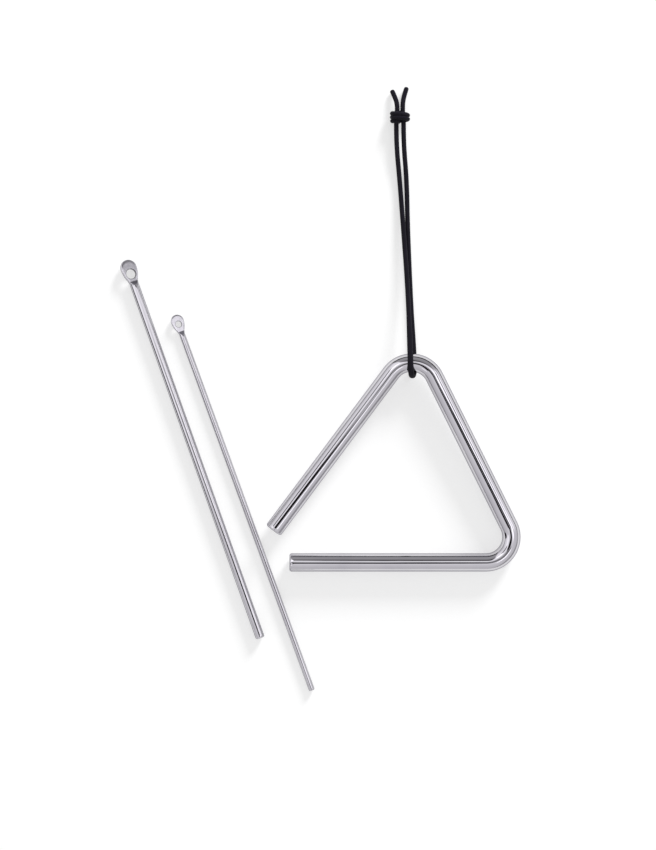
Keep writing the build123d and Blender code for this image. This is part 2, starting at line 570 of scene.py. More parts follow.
def laid_straight(along: np.ndarray, radius: np.ndarray | float, angle: np.ndarray) -> np.ndarray:
    """Places of ring points on the same piece laid out straight along X.

    Y and Z are the radius times the cosine and the sine of the angle.

    Args:
        along: Distance of each ring along the piece.
        radius: Radius of each ring in its row, or one for all.
        angle: Angles round a ring.

    Returns:
        Points as rings, columns and three coordinates.
    """
    out = np.broadcast_to(radius, (len(along), len(angle)))
    ahead = np.broadcast_to(along[:, None], out.shape)
    return np.stack([ahead, out * np.cos(angle), out * np.sin(angle)], axis=-1)


def surface_mesh(
    name: str,
    grid: np.ndarray,
    straightened: np.ndarray | None = None,
    relief: np.ndarray | None = None,
    finish: np.ndarray | None = None,
) -> bpy.types.Mesh:
    """Mesh of quads over rings of points, which is closed where its end rings have shrunk to poles.

    Corner (i, j) of the grid joins (i, j + 1), (i + 1, j + 1) and (i + 1, j), and the last column joins the
    first. Quads are turned round if the volume that they hold comes out negative. Points that coincide are
    merged.

    Args:
        name: The mesh's name.
        grid: Points as rings, columns and three coordinates.
        straightened: For each point, its place on the same piece laid out straight.
        relief: For each point, its height in the surface's pattern, from 0 to 1.
        finish: For each quad, the number of its material.

    Returns:
        The mesh, smooth but for its sharp edges.
    """
    rings, columns = grid.shape[:2]
    first = np.arange(rings - 1)[:, None] * columns
    column = np.arange(columns)[None, :]
    beside = (column + 1) % columns
    corners = [first + column, first + beside, first + columns + beside, first + columns + column]
    quads = np.stack(corners, axis=-1).reshape(-1, 4)
    flat = grid.reshape(-1, 3)
    corner = flat[quads]
    across = np.cross(corner[:, 2] - corner[:, 0], corner[:, 3] - corner[:, 1])
    if (across * corner.mean(axis=1)).sum() < 0:
        quads = quads[:, ::-1]

    mesh = bpy.data.meshes.new(name)
    mesh.vertices.add(len(flat))
    mesh.vertices.foreach_set("co", flat.astype(np.float32).ravel())
    mesh.loops.add(quads.size)
    mesh.loops.foreach_set("vertex_index", quads.astype(np.int32).ravel())
    mesh.polygons.add(len(quads))
    mesh.polygons.foreach_set("loop_start", np.arange(0, quads.size, 4, dtype=np.int32))
    if finish is not None:
        mesh.polygons.foreach_set("material_index", finish.astype(np.int32).ravel())
    mesh.update(calc_edges=True)
    straight_kind, relief_kind = ("FLOAT_VECTOR", "vector"), ("FLOAT", "value")
    carried = ((STRAIGHTENED, straight_kind, straightened), (RELIEF, relief_kind, relief))
    for label, (kind, field), values in carried:
        if values is not None:
            attribute = mesh.attributes.new(label, kind, "POINT")
            attribute.data.foreach_set(field, values.astype(np.float32).ravel())
    return merged(mesh, [mesh])


def merged(target: bpy.types.Mesh, meshes: Sequence[bpy.types.Mesh]) -> bpy.types.Mesh:
    """Puts several meshes into one, merges coincident points and smooths all but the sharp edges.

    Args:
        target: The mesh that is written.
        meshes: The meshes that go into it, the target itself among them if it has faces to keep.

    Returns:
        The target.
    """
    work = bmesh.new()
    for mesh in meshes:
        work.from_mesh(mesh)
    bmesh.ops.remove_doubles(work, verts=work.verts, dist=MERGE_DISTANCE)
    work.to_mesh(target)
    work.free()
    target.polygons.foreach_set("use_smooth", np.ones(len(target.polygons), dtype=bool))
    target.set_sharp_from_angle(angle=radians(SHARP_ANGLE))
    return target


def linked(name: str, data: bpy.types.ID) -> bpy.types.Object:
    """A new object of the scene, at the origin.

    Args:
        name: The object's name.
        data: Its mesh, lamp or camera.

    Returns:
        The object.
    """
    thing = bpy.data.objects.new(name, data)
    bpy.context.scene.collection.objects.link(thing)
    return thing


def show_piece(mesh: bpy.types.Mesh, body: Body, node: str) -> bpy.types.Object:
    """Shows a finished mesh in the place of a CAD node.

    Args:
        mesh: The piece's mesh, in the row frame.
        body: The body that it rides on.
        node: The CAD node that it stands for.

    Returns:
        The piece.
    """
    piece = linked(mesh.name, mesh)
    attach(piece, body.value)
    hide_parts(node)
    return piece


def mount(name: str) -> dict:
    """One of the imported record's mounts."""
    return next(m for m in frame["record"]["mounts"] if m["name"] == name)


@dataclass
class TriangleRod:
    """The bent rod: two legs and a side of round bar, two bends and two chamfered ends."""

    finish: ChromePlate
    diameter: float = 0.010
    side_length: float = 0.0915
    bend_radius: float = 0.014
    bend_turn: float = 116.6
    open_setback: float = 0.0221
    end_chamfer: float = 0.0009
    chamfer_power: float = 1.3
    apex_lift: float = 0.003
    columns: int = 96
    straight_step: float = 0.0025
    bend_step: float = 1.5
    face_rings: int = 5
    chamfer_rings: int = 12
    clear_chamfers: float = 1.5

    def sections(self) -> list[float]:
        """Lengths of leg, bend, side, bend and leg along the axis.

        A leg runs to the open corner of the triangle that the straights would meet in, less the bend's
        tangent and the end's setback.

        Returns:
            The five lengths.
        """
        turn = radians(self.bend_turn)
        tangent = self.bend_radius * tan(turn / 2)
        leg = (self.side_length / 2 + tangent) / cos(pi - turn) - tangent - self.open_setback
        bend = self.bend_radius * turn
        return [leg, bend, self.side_length, bend, leg]

    def axis(self, along: np.ndarray) -> tuple[np.ndarray, np.ndarray]:
        """The rod's axis in its own plane.

        The lower leg runs along X. Each straight adds its length along its heading, and each bend adds the
        chord of an arc: radius times the sine, and one less the cosine, of the angle turned so far.

        Args:
            along: Distances along the axis from the lower leg's free end.

        Returns:
            Points with two coordinates, and the headings there in radians.
        """
        turn, sections = radians(self.bend_turn), self.sections()
        starts = np.cumsum([0.0, *sections])
        runs = [np.clip(along - start, 0.0, span) for start, span in zip(starts, sections)]
        point = np.stack([runs[0], np.zeros_like(along)], axis=1)
        for number, (arc, straight) in enumerate([runs[1:3], runs[3:5]]):
            start = number * turn
            turned = start + arc / self.bend_radius
            chord = [np.sin(turned) - sin(start), cos(start) - np.cos(turned)]
            point += self.bend_radius * np.stack(chord, axis=1)
            point += straight[:, None] * np.array([cos(start + turn), sin(start + turn)])
        return point, (runs[1] + runs[3]) / self.bend_radius

    def stations(self) -> tuple[np.ndarray, np.ndarray]:
        """Distances along the axis, and the rod's radius at each.

        Ends are flat discs with a rounded chamfer: inset and setback follow a superellipse whose power lies
        between that of a flat chamfer and that of a round.

        Returns:
            The distances and the radii, from end to end.
        """
        half, chamfer = self.diameter / 2, self.end_chamfer
        angle = np.linspace(0.0, pi / 2, self.chamfer_rings)
        setback = chamfer * (1 - np.cos(angle) ** (2 / self.chamfer_power))
        inset = chamfer * (1 - np.sin(angle) ** (2 / self.chamfer_power))
        face = (half - chamfer) * np.linspace(0.0, 1.0, self.face_rings, endpoint=False)
        lead = np.concatenate([np.zeros(len(face)), setback])
        lead_radius = np.concatenate([face, half - inset])
        sections = self.sections()
        marks = np.cumsum([0.0, *sections])
        rings = [int(length / self.straight_step) for length in sections]
        rings[1] = rings[3] = int(self.bend_turn / self.bend_step)
        runs = [np.linspace(a, b, n, endpoint=False) for a, b, n in zip(marks, marks[1:], rings)]
        body, clear = np.concatenate(runs), self.clear_chamfers * chamfer
        body = body[(body > clear) & (body < marks[-1] - clear)]
        along = np.concatenate([lead, body, marks[-1] - lead[::-1]])
        radius = np.concatenate([lead_radius, np.full(len(body), half), lead_radius[::-1]])
        return along, radius

    def build(self) -> bpy.types.Object:
        """Rings of the rod's radius carried along its axis, in a plane tipped about the lower leg.

        The plane's place comes from the CAD node's box. A ring stands on the axis's normal in the plane and
        the plane's own normal.

        Returns:
            The rod.
        """
        low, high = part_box("triangle_rod")
        along, radius = self.stations()
        flat, heading = self.axis(along)
        height = self.side_length * sin(radians(self.bend_turn)) + 2 * self.bend_radius
        tip = asin(self.apex_lift / height)
        plane_x = np.array([1.0, 0.0, 0.0])
        plane_y = np.array([0.0, cos(tip), sin(tip)])
        plane_z = np.array([0.0, -sin(tip), cos(tip)])
        half, leg = self.diameter / 2, self.sections()[0]
        origin = np.array([high.x - half - self.bend_radius - leg, low.y + half, half])
        centre = origin + flat[:, :1] * plane_x + flat[:, 1:] * plane_y
        normal = -np.sin(heading)[:, None] * plane_x + np.cos(heading)[:, None] * plane_y
        angle = round_angles(self.columns)
        grid = carried_rings(centre, radius[:, None], angle, normal, plane_z)
        straight = laid_straight(along, radius[:, None], angle)
        mesh = surface_mesh("bent_rod", grid, straightened=straight)
        mesh.materials.append(self.finish.material())
        return show_piece(mesh, Body.TRIANGLE, "triangle_rod")


@dataclass
class Beater:
    """A straight wire whose far end is spread to a pear shape, pressed flat on both faces and pierced."""

    node: str
    body: Body
    diameter: float
    length: float
    eye_width: float
    eye_thickness: float
    flat_length: float
    neck_length: float
    hole_diameter: float
    hole_setback: float
    tip_round: float
    hole_edge: float
    # Heights, in diameters, between which the painted dark reflection on the wire fades out.
    dark_reflection_shares: Span = (0.72, 0.88)
    root_share: float = 0.96
    edge_share: float = 0.48
    flank_share: float = 0.6
    crease_power: float = 14.0
    columns: int = 176
    column_crowding: float = 0.28
    wire_step: float = 0.003
    eye_step: float = 0.00014
    face_rings: int = 4
    crown_rings: int = 56
    tip_rings: int = 10
    hole_columns: int = 96
    hole_rings: int = 7

    def placing(self) -> tuple[np.ndarray, np.ndarray, np.ndarray]:
        """Where the beater lies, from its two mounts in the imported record.

        Returns:
            Middle of the tip, direction from tip to eye, and direction square to the eye's faces.
        """
        eye, shaft = mount(f"{self.node}_eye"), mount(f"{self.node}_shaft")
        axis, normal = -np.array(shaft["axis"]), np.array(eye["axis"])
        return np.array(eye["pos_m"]) - (self.length - self.hole_setback) * axis, axis, normal

    def half_width(self, along: np.ndarray) -> np.ndarray:
        """Half the outline's width along the wire, up to the middle of the eye's crown.

        The tip is a quarter round. The neck is a concave arc that leaves the wire, and the flank a convex arc
        that meets the crown's full width, with the same turn in both.

        Args:
            along: Distances from the tip.

        Returns:
            Half widths.
        """
        half, root = self.diameter / 2, self.root_share * self.diameter / 2
        drop, reach = self.eye_width / 2 - root, self.neck_length - self.eye_width / 2
        turn = 2 * atan(drop / reach)
        flank_reach, neck_reach = self.flank_share * reach, (1 - self.flank_share) * reach
        flank, neck = flank_reach / sin(turn), neck_reach / sin(turn)
        start = self.length - self.neck_length
        into_neck = np.clip(along - start, 0.0, neck_reach)
        to_crown = np.clip(start + reach - along, 0.0, flank_reach)
        neck_width = root + neck - np.sqrt(neck**2 - into_neck**2)
        flank_width = self.eye_width / 2 - flank + np.sqrt(flank**2 - to_crown**2)
        eye = np.where(along < start + neck_reach, neck_width, flank_width)
        wire = eye + (half - eye) * eased((start - along) / self.diameter + 0.5)
        rounding = np.clip(self.tip_round - along, 0.0, self.tip_round)
        return wire - self.tip_round + np.sqrt(self.tip_round**2 - rounding**2)

    def stations(self) -> tuple[np.ndarray, np.ndarray, np.ndarray]:
        """Places of the rings along the wire.

        Rings stand square to the wire up to the middle of the crown, and from there fan out about that point.

        Returns:
            Distances from the tip, half widths, and the angles that the fan has turned.
        """
        crown = self.length - self.eye_width / 2
        eye_start = self.length - self.neck_length - 2 * self.diameter
        tip = self.tip_round * (1 - np.cos(np.linspace(0.0, pi / 2, self.tip_rings)))
        wire = np.arange(2 * self.tip_round, eye_start, self.wire_step)
        eye = np.linspace(eye_start, crown, int((crown - eye_start) / self.eye_step))
        along = np.concatenate([tip, wire, eye])
        face = np.linspace(0.0, 1.0, self.face_rings, endpoint=False) * self.half_width(np.zeros(1))
        fan = np.linspace(0.0, pi / 2, self.crown_rings + 1)[1:]
        places = np.concatenate([np.zeros(len(face)), along, np.full(len(fan), crown)])
        crown_widths = np.full(len(fan), self.eye_width / 2)
        widths = np.concatenate([face, self.half_width(along), crown_widths])
        return places, widths, np.concatenate([np.zeros(len(face) + len(along)), fan])

    def blank(self) -> bpy.types.Mesh:
        """The wire and its eye before the hole, as rings of points.

        A ring's outline is a circle arc on each side, whose centres lie apart where the wire is spread, cut
        off above and below by the die's faces. In the direction of each angle, the distance to the arc and
        the distance to the die's face are joined by a soft minimum: one over the root of the sum of their
        inverse high powers.

        Returns:
            The unpierced mesh.
        """
        origin, axis, normal = self.placing()
        places, widths, fan = (values[:, None] for values in self.stations())
        even = round_angles(self.columns)
        angle = (even - self.column_crowding * np.sin(2 * even))[None, :]
        cosine, sine = np.abs(np.cos(angle)), np.abs(np.sin(angle))
        edge = np.where(widths > self.diameter / 2, self.edge_share * self.diameter, widths)
        offset = widths - edge
        arc = offset * cosine + np.sqrt(np.maximum(edge**2 - (offset * sine) ** 2, 0.0))
        shoulder = self.neck_length - self.flat_length
        slope = (self.diameter - self.eye_thickness) / 2 / shoulder
        before = np.maximum(self.length - self.flat_length - places, 0.0)
        die = (self.eye_thickness / 2 + slope * before) / np.maximum(sine, LEAST_SINE)
        least, most = np.minimum(arc, die), np.maximum(arc, die)
        reach = least * (1 + (least / most) ** self.crease_power) ** (-1 / self.crease_power)

        side = np.sign(np.round(np.cos(angle), COSINE_DIGITS)) * np.cos(fan)
        out = side[..., None] * np.cross(axis, normal) + np.sin(fan)[..., None] * axis
        centre = origin + places[..., None] * axis
        height = (reach * np.sin(angle))[..., None] * normal
        grid = centre + (reach * cosine)[..., None] * out + height
        pressed = (die < arc) & (places > self.length - self.neck_length)
        sloping = pressed & (places < self.length - self.flat_length)
        finish = np.where(pressed[:-1] & pressed[1:], BeaterSurface.FACE, BeaterSurface.WIRE)
        finish = np.where(sloping[:-1] & sloping[1:], BeaterSurface.SHOULDER, finish)
        return surface_mesh(f"{self.node}_wire", grid, finish=finish)

    def punch(self) -> bpy.types.Mesh:
        """What the hole takes out: a round pin that flares in a quarter round at both faces.

        Over a flare, the pin's radius grows by the flare times one less the cosine, and its height stops
        short of the face by the flare times one less the sine.

        Returns:
            The pin's mesh.
        """
        origin, axis, normal = self.placing()
        half, flare = self.eye_thickness / 2, self.hole_edge
        angle = np.linspace(0.0, pi / 2, self.hole_rings)
        height = half - flare * (1 - np.sin(angle))
        radius = self.hole_diameter / 2 + flare * (1 - np.cos(angle))
        upper = np.concatenate([height, [half + flare, half + flare]])
        upper_radius = np.concatenate([radius, [radius[-1], 0.0]])
        profile = np.concatenate([-upper[::-1], upper])
        radii = np.concatenate([upper_radius[::-1], upper_radius])
        middle = origin + (self.length - self.hole_setback) * axis
        centre = middle + profile[:, None] * normal
        turn = round_angles(self.hole_columns)
        grid = carried_rings(centre, radii[:, None], turn, axis, np.cross(axis, normal))
        finish = np.full((len(profile) - 1, self.hole_columns), BeaterSurface.HOLE)
        return surface_mesh("hole_punch", grid, finish=finish)

    def materials(self) -> list[bpy.types.Material]:
        """The beater's finishes, in the order of their numbers.

        Returns:
            The materials.
        """
        _, axis, _ = self.placing()
        # Heights of the painted dark reflection on the wire.
        low, high = (share * self.diameter for share in self.dark_reflection_shares)
        wire = DrawnWire(np.degrees(np.arctan2(axis[1], axis[0])), (low, high))
        return [finish.material(self.node) for finish in (wire, EYE_FACE, EYE_SHOULDER, EYE_HOLE_SHADE)]

    def build(self) -> bpy.types.Object:
        """The blank with the punch taken out of it.

        Returns:
            The beater.
        """
        materials = self.materials()
        blank, punch = linked("blank", self.blank()), linked("punch", self.punch())
        for piece in (blank, punch):
            for material in materials:
                piece.data.materials.append(material)
        modifier = blank.modifiers.new("hole", "BOOLEAN")
        modifier.operation = "DIFFERENCE"
        modifier.solver = "EXACT"
        modifier.object = punch
        evaluated = blank.evaluated_get(bpy.context.evaluated_depsgraph_get())
        shape = bpy.data.meshes.new_from_object(evaluated)
        for piece in (blank, punch):
            data = piece.data
            bpy.data.objects.remove(piece)
            bpy.data.meshes.remove(data)
        shape.name = f"{self.node}_wire"
        return show_piece(merged(shape, [shape]), self.body, self.node)


@dataclass
class BraidedTube:
    """Surface of a round braid: two families of strands that wind opposite ways and pass over and under."""

    diameter: float
    strands: int = 8
    strand_pitch: float = 0.0011
    relief: float = 0.00013
    ridge_power: float = 0.7
    weave: float = 0.45
    seal_power: float = 2.6
    columns: int = 64
    step: float = 0.0002

    def heights(self, along: np.ndarray, angle: np.ndarray) -> np.ndarray:
        """Height of the braid from 0 to 1 over distance and angle.

        Each family's phase is its count of strands times the angle, more or less the distance in pitches. A
        strand is a rounded ridge of its own phase, raised and sunk by turns along the other family's phase.
        The upper one shows.

        Args:
            along: Distances along the cord.
            angle: Angles round it.

        Returns:
            One height for each distance and angle.
        """
        turns = 2 * pi * along[:, None] / self.strand_pitch
        first = np.cos((self.strands * angle[None, :] + turns) / 2)
        second = np.cos((self.strands * angle[None, :] - turns) / 2)
        over = np.abs(first) ** self.ridge_power + self.weave * second * np.sign(first)
        under = np.abs(second) ** self.ridge_power - self.weave * first * np.sign(second)
        return np.clip(np.maximum(over, under) / (1 + self.weave), 0.0, 1.0)

    def mesh(
        self,
        name: str,
        line: np.ndarray,
        reference: Point,
        widen: np.ndarray | float = 1.0,
        round_end: bool = False,
    ) -> bpy.types.Mesh:
        """A braided tube along a line, with a pole at each end.

        The radius is half the diameter less the relief times one less the braid's height. A sealed end
        shrinks as a superellipse.

        Args:
            name: The mesh's name.
            line: Ring centres, at equal steps.
            reference: A direction that the line never takes.
            widen: Factor of the radius along the reference direction, whose inverse the other direction has.
            round_end: Whether the last ring is sealed round.

        Returns:
            The tube's closed mesh.
        """
        side, other = tube_frames(line, reference)
        along, angle = running_length(line), round_angles(self.columns)
        height = self.heights(along, angle)
        radius = self.diameter / 2 - self.relief * (1 - height)
        if round_end:
            left = np.clip((along[-1] - along) / (self.diameter / 2), 0.0, 1.0)
            radius *= np.sqrt(1 - (1 - left[:, None]) ** self.seal_power)
        spread = np.broadcast_to(widen, len(line))[:, None]
        rows = np.concatenate([[0], np.arange(len(line)), [len(line) - 1]])
        radius = radius[rows]
        radius[[0, -1]] = 0.0
        grid = carried_rings(line[rows], radius, angle, (spread * side)[rows], (other / spread)[rows])
        straight = laid_straight(along[rows], self.diameter / 2, angle)
        return surface_mesh(name, grid, straightened=straight, relief=height[rows])


@dataclass
class HangingCord:
    """The braided cord: from its knot over the rod at the top bend, round it, back under it to the knot."""

    finish: BlackBraid
    diameter: float = 0.0027
    length: float = 0.286
    squeeze: float = 0.2
    squeeze_middle: float = 0.062
    squeeze_reach: float = 0.022
    route: tuple[Point, ...] = (
        (0.0417, 0.1934, 0.0041),
        (0.0417, 0.1824, 0.0041),
        (0.0436, 0.1634, 0.0016),
        (0.0455, 0.1374, 0.0032),
        (0.0478, 0.1054, 0.0050),
        (0.0489, 0.0747, 0.0125),
        (0.0492, 0.0593, 0.0149),
        (0.0498, 0.0548, 0.0108),
        (0.0509, 0.0548, 0.0052),
        (0.0518, 0.0593, 0.0014),
        (0.0510, 0.0734, 0.0014),
        (0.0494, 0.1044, 0.0014),
        (0.0480, 0.1374, 0.0014),
        (0.0475, 0.1634, 0.0014),
        (0.0457, 0.1824, 0.0041),
        (0.0457, 0.1934, 0.0041),
    )

    def build(self, knot: bpy.types.Object) -> bpy.types.Object:
        """The braid along the route's spline, squeezed wider on the rod.

        The squeeze dies away with the fourth power of the distance from the rod, as an exponential.

        Args:
            knot: The piece that ties the cord's ends; not used.

        Returns:
            The cord.
        """
        braid = BraidedTube(self.diameter)
        line = nurbs_line(self.route, braid.step)
        away = (line[:, 1] - self.squeeze_middle) / self.squeeze_reach
        widen = 1 + self.squeeze * np.exp(-(away**4))
        mesh = braid.mesh("braided_cord", line, (1.0, 0.0, 0.0), widen=widen)
        mesh.materials.append(self.finish.material())
        piece = show_piece(mesh, Body.CORD, "hanging_cord")
        return piece


@dataclass
class TiedKnot:
    """The knot: both ends of the cord side by side, one end's turns round them, and two sealed tails."""

    finish: BlackBraid
    diameter: float = 0.0027
    width: float = 0.0110
    height: float = 0.0081
    turns: float = 2.6
    winding: Span = (0.1949, 0.2003)
    winding_points: int = 2000
    middle: Span = (0.0437, 0.0041)
    tuck_share: float = 0.12
    tuck_depth: float = 0.55
    turn_widening: float = 0.94
    tails: tuple[tuple[Point, ...], ...] = (
        (
            (0.0417, 0.1934, 0.0041),
            (0.0418, 0.1964, 0.0041),
            (0.0422, 0.1994, 0.0041),
            (0.0422, 0.2046, 0.0041),
            (0.0410, 0.2088, 0.0027),
            (0.0392, 0.2128, 0.0014),
        ),
        (
            (0.0457, 0.1934, 0.0041),
            (0.0456, 0.1964, 0.0041),
            (0.0452, 0.1994, 0.0041),
            (0.0452, 0.2050, 0.0041),
            (0.0460, 0.2096, 0.0027),
            (0.0476, 0.2144, 0.0014),
        ),
    )

    def winding_line(self, step: float) -> np.ndarray:
        """Centre line of the turns: a helix with an oval section that draws in at both ends.

        Args:
            step: Distance between its points.

        Returns:
            Points at equal steps.
        """
        share = np.linspace(0.0, 1.0, self.winding_points)
        angle = 2 * pi * self.turns * share + pi / 2
        swell = 1 - self.tuck_depth * (1 - eased(np.minimum(share, 1 - share) / self.tuck_share))
        across = (self.width - self.diameter) / 2 * swell * np.cos(angle)
        upward = (self.height - self.diameter) / 2 * swell * np.sin(angle)
        along = self.winding[0] + (self.winding[1] - self.winding[0]) * share
        line = np.stack([self.middle[0] + across, along, self.middle[1] + upward], axis=1)
        return evenly_spaced(line, step)

    def build(self) -> bpy.types.Object:
        """Two tails and the turns round them as one mesh of braided tubes.

        Returns:
            The knot.
        """
        braid = BraidedTube(self.diameter)
        tubes = [
            braid.mesh(f"tail_{number}", nurbs_line(tail, braid.step), (1.0, 0.0, 0.0), round_end=True)
            for number, tail in enumerate(self.tails)
        ]
        turns = self.winding_line(braid.step)
        tubes.append(braid.mesh("turns", turns, (0.0, 1.0, 0.0), widen=self.turn_widening))
        mesh = merged(bpy.data.meshes.new("tied_knot"), tubes)
        for tube in tubes:
            bpy.data.meshes.remove(tube)
        mesh.materials.append(self.finish.material())
        return show_piece(mesh, Body.CORD, "cord_knot")


@dataclass(frozen=True)
class Panel:
    """An oval patch of the light tent, brighter or darker than its cloth.

    Its middle has an azimuth and an angle from the top. Its half sizes lie along its heading and across it,
    and the heading is the azimuth unless a turn is given.
    """

    azimuth: float
    fall: float
    half: Span
    level: float
    turn: float | None = None
    soft_share: float = 0.3

    def axes(self) -> list[np.ndarray]:
        """Directions along the oval and across it, each divided by the sine of its half size.

        Returns:
            The two directions.
        """
        azimuth, fall = radians(self.azimuth), radians(self.fall)
        turn = azimuth if self.turn is None else radians(self.turn)
        middle = np.array([sin(fall) * cos(azimuth), sin(fall) * sin(azimuth), cos(fall)])
        heading = np.array([cos(turn), sin(turn), 0.0])
        along = unit(heading - (heading @ middle) * middle)
        sides = (along, np.cross(middle, along))
        return [side / sin(radians(half)) for side, half in zip(sides, self.half)]

    def share(self, sheet: NodeSheet, ray: Socket) -> Socket:
        """How far a direction lies in the oval, from 0 outside its rim to 1.

        The two offsets from the oval's middle, in half sizes, are added as squares.

        Args:
            sheet: The tent's node sheet.
            ray: Direction from the tent's middle.

        Returns:
            The share's socket.
        """
        offsets = [sheet.vector("DOT_PRODUCT", ray, tuple(axis)) for axis in self.axes()]
        squares = [sheet.math("POWER", offset, 2.0) for offset in offsets]
        rim = (1 - self.soft_share) ** 2
        return sheet.span(sheet.math("ADD", *squares), (rim, 1.0), (1.0, 0.0), smooth=True)


@dataclass(frozen=True)
class Opening:
    """A dark opening of the light tent between two straight edges.

    Each edge has a direction, and the least share along it that lies in the opening.
    """

    edges: tuple[tuple[Point, float], tuple[Point, float]]
    soft: float = 0.03

    def share(self, sheet: NodeSheet, ray: Socket) -> Socket:
        """How far a direction lies within both edges, from 0 to 1.

        Args:
            sheet: The tent's node sheet.
            ray: Direction from the tent's middle.

        Returns:
            The share's socket.
        """
        shares = []
        for way, least in self.edges:
            rim = (least - self.soft, least + self.soft)
            shares.append(sheet.span(sheet.vector("DOT_PRODUCT", ray, way), rim, smooth=True))
        return sheet.math("MULTIPLY", *shares)


@dataclass
class Studio:
    """White table, soft light from the upper right, a tent that only reflections see, and the camera."""

    view_middle: Span = (0.0041, 0.0281)
    view_height: float = 0.4675
    focus_height: float = 0.005
    lens: float = 100.0
    sensor: float = 36.0
    table_half: float = 6.0
    table_points: int = 9
    table_drop: float = 0.00006
    table_colour: Colour = (0.50, 0.50, 0.502)
    table_grain: Cloud = Cloud((900.0, 900.0, 900.0), 3.0, (0.3, 0.7))
    table_dimming: float = 0.985
    table_glow: Span = (0.55, 0.72)
    glow_span: Span = (0.5, 1.5)
    sky_light: float = 0.62
    key_power: float = 117.0
    key_size: float = 1.0
    key_place: Point = (1.336, 2.512, 0.952)
    tent_radius: float = 1.25
    tent_rings: int = 48
    tent_columns: int = 96
    tent_light: float = 1.5
    cloth_tint: Colour = (1.0, 0.985, 1.03)
    near_cloth: Cloth = (
        (0, 0.32), (6, 0.36), (11, 0.46), (15, 0.60), (24, 0.57),
        (40, 0.51), (60, 0.47), (74, 0.43), (84, 0.30), (90, 0.24),
    )
    flank_cloth: Cloth = (
        (0, 0.32), (5, 0.42), (10, 0.60), (18, 0.80), (26, 0.78),
        (36, 0.66), (48, 0.66), (60, 0.60), (72, 0.46), (84, 0.26),
    )
    far_cloth: Cloth = (
        (0, 0.10), (14, 0.10), (18, 0.02), (26, 0.02), (32, 0.13),
        (42, 0.22), (56, 0.27), (68, 0.28), (78, 0.08), (86, 0.02),
    )
    flank_span: Span = (-0.10, 0.20)
    far_opening: Opening = Opening((((-0.283, 0.917, -0.283), -0.008), ((0.797, 0.563, -0.219), 0.0)))
    tent_panels: tuple[Panel, ...] = (
        # Wide sheets of grey cloth.
        Panel(-90.0, 84.0, (28.0, 10.0), 0.46, turn=0.0),
        Panel(-35.0, 79.0, (10.0, 30.0), 0.26),
        Panel(178.0, 62.0, (22.0, 24.0), 0.64),
        Panel(178.0, 41.0, (14.0, 17.0), 0.86),
        Panel(122.0, 42.0, (20.0, 10.0), 0.74),
        # Patches over them, some bright, some grey and some dark.
        Panel(8.0, 23.0, (11.0, 14.0), 1.15),
        Panel(-45.0, 31.0, (5.0, 9.0), 1.15),
        Panel(37.0, 57.0, (13.0, 9.0), 0.40),
        Panel(23.0, 71.0, (10.0, 16.0), 0.60),
        Panel(-119.0, 39.0, (6.0, 7.0), 0.82),
        Panel(21.0, 35.5, (5.0, 7.0), 0.02),
        Panel(20.0, 46.0, (4.5, 14.0), 1.15),
        Panel(122.0, 25.0, (6.0, 8.0), 1.30),
        Panel(149.0, 32.5, (6.0, 12.0), 0.01),
        Panel(-167.0, 80.0, (19.0, 12.0), 0.01),
        # Black flags close round the top.
        Panel(-80.0, 10.0, (8.5, 7.5), 0.008, turn=-25.0),
        Panel(-46.0, 16.0, (9.5, 2.8), 0.02, turn=-8.0),
        Panel(-3.0, 14.2, (8.5, 5.0), 0.008, turn=20.0),
        Panel(-111.0, 17.2, (9.5, 3.4), 0.02, turn=33.0),
        Panel(0.0, 7.5, (5.0, 3.5), 0.02, turn=20.0),
        Panel(-128.0, 12.1, (5.0, 4.0), 0.02, turn=-30.0),
        Panel(-164.2, 9.6, (11.0, 6.0), 0.010, turn=158.0, soft_share=0.25),
    )

    def build(self) -> None:
        """Sets up everything that isn't part of the object."""
        self.place_camera()
        self.lay_table()
        self.light_world()
        self.hang_key()
        self.pitch_tent()
        bpy.context.scene.view_settings.view_transform = "Standard"

    def place_camera(self) -> None:
        """Camera straight above, at the distance where the frame's long side shows the view's height."""
        data = bpy.data.cameras.new("camera")
        data.lens = self.lens
        data.sensor_width = self.sensor
        camera = linked("camera", data)
        distance = self.view_height * self.lens / self.sensor
        camera.location = (*self.view_middle, self.focus_height + distance)
        bpy.context.scene.camera = camera

    def seen_ray(self, sheet: NodeSheet) -> Socket:
        """1 on rays from the camera, from gloss and through glass, and 0 on the others.

        Args:
            sheet: The node sheet that asks.

        Returns:
            The number's socket.
        """
        path = sheet.add("ShaderNodeLightPath").outputs
        shiny = sheet.math("MAXIMUM", path["Is Glossy Ray"], path["Is Transmission Ray"])
        return sheet.math("MAXIMUM", path["Is Camera Ray"], shiny)

    def lay_table(self) -> None:
        """A large white sheet just under the object, which keeps the shadows and stays white far off."""
        count = self.table_points
        share = np.linspace(-self.table_half, self.table_half, count)
        x, y = np.meshgrid(share, share, indexing="ij")
        points = np.stack([x, y, np.full_like(x, -self.table_drop)], axis=-1).reshape(-1, 3)
        index = np.arange(count * count).reshape(count, count)
        corners = [index[:-1, :-1], index[1:, :-1], index[1:, 1:], index[:-1, 1:]]
        mesh = bpy.data.meshes.new("table")
        mesh.from_pydata(points.tolist(), [], np.stack(corners, axis=-1).reshape(-1, 4).tolist())
        mesh.materials.append(self.table_material())
        linked("table", mesh)

